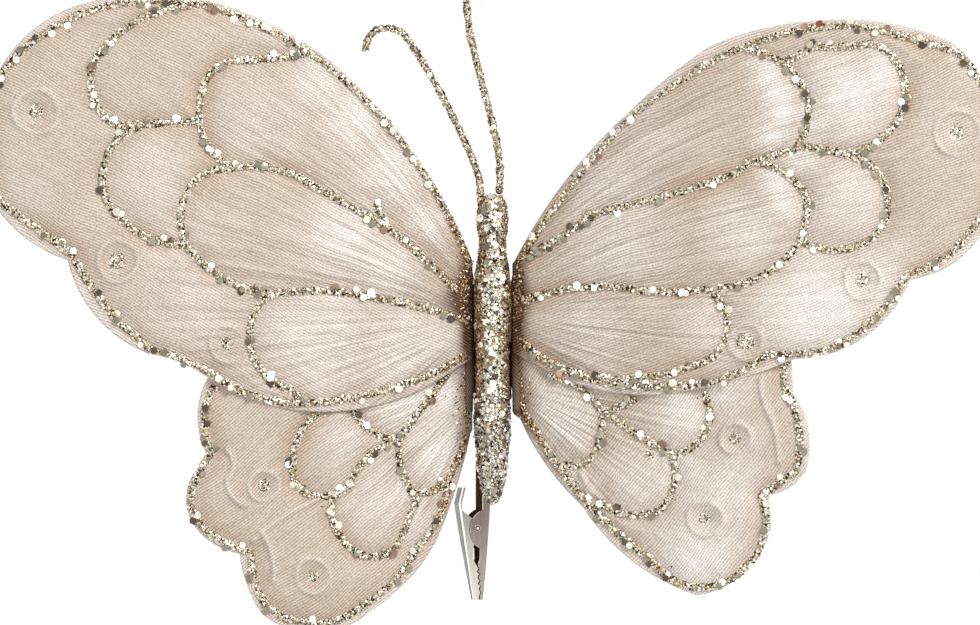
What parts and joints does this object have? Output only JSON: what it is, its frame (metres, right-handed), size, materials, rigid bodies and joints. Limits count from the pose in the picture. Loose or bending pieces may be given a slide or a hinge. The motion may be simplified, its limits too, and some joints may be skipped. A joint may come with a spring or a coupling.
{
  "type": "butterfly ornament",
  "caption": "Clip-on butterfly with moulded fabric wings veined in glitter, a glittered body, bendable wire antennae and a sprung toothed clip behind the tail.",
  "frame": {"origin": "where the clip's teeth close, halfway across the jaws", "axes": "+Z from the clip up to the head, -Y towards the decorated front, +X to the right when the front is looked at"},
  "size_m": [0.2554, 0.0343, 0.1646],
  "materials": {
    "body_core": "rigid foam, moulded",
    "body_glitter": "coarse champagne glitter",
    "hot_glue": "set hot glue",
    "clip_nickel": "nickel plated stamped steel",
    "spring_steel": "drawn spring wire",
    "wing_fabric": "heat-moulded champagne satin",
    "wing_glitter": "raised glitter glue",
    "stiffening_wire": "cloth-covered wire",
    "antenna_wire": "annealed wire"
  },
  "bodies": {
    "body": {"body_core": "body_core", "body_glitter_coat": "body_glitter", "glue_pad": "hot_glue", "clip_glue_bed": "hot_glue", "clip_fixed_jaw": "clip_nickel", "clip_pivot_pin": "clip_nickel", "clip_spring": "spring_steel"},
    "clip_lever": {"clip_moving_jaw": "clip_nickel"},
    "left_wings": {"wing_root_roll_left": "wing_fabric", "forewing_left": "wing_fabric", "hindwing_left": "wing_fabric", "forewing_glitter_lines_left": "wing_glitter", "hindwing_glitter_lines_left": "wing_glitter", "forewing_glitter_spots_left": "wing_glitter", "hindwing_glitter_spots_left": "wing_glitter", "forewing_wire_left": "stiffening_wire", "hindwing_wire_left": "stiffening_wire"},
    "right_wings": {"wing_root_roll_right": "wing_fabric", "forewing_right": "wing_fabric", "hindwing_right": "wing_fabric", "forewing_glitter_lines_right": "wing_glitter", "hindwing_glitter_lines_right": "wing_glitter", "forewing_glitter_spots_right": "wing_glitter", "hindwing_glitter_spots_right": "wing_glitter", "forewing_wire_right": "stiffening_wire", "hindwing_wire_right": "stiffening_wire"},
    "left_antenna": {"antenna_wire_left": "antenna_wire", "antenna_glitter_left": "body_glitter"},
    "right_antenna": {"antenna_wire_right": "antenna_wire", "antenna_glitter_right": "body_glitter"}
  },
  "joints": [
    {"name": "clip_opens", "type": "hinge", "parent": "body", "child": "clip_lever", "pos_m": [-0.00073, -0.00033, 0.01274], "axis": [-0.4067, 0.9135, 0], "range_deg": [0, 25], "stiffness_Nm_per_rad": 0.2, "springref_deg": -25.78, "deforming": ["clip_spring"]},
    {"name": "left_wings_fold", "type": "hinge", "parent": "body", "child": "left_wings", "pos_m": [-0.0018, -0.0049, 0.0625], "axis": [0, 0, 1], "range_deg": [-12, 50]},
    {"name": "right_wings_fold", "type": "hinge", "parent": "body", "child": "right_wings", "pos_m": [0.01, -0.0049, 0.0625], "axis": [0, 0, -1], "range_deg": [-12, 50]},
    {"name": "left_antenna_bends", "type": "hinge", "parent": "body", "child": "left_antenna", "pos_m": [0.0012, -0.0075, 0.09655], "axis": [1, 0, 0], "range_deg": [-15, 15]},
    {"name": "right_antenna_bends", "type": "hinge", "parent": "body", "child": "right_antenna", "pos_m": [0.00585, -0.0075, 0.09733], "axis": [1, 0, 0], "range_deg": [-15, 15]}
  ]
}
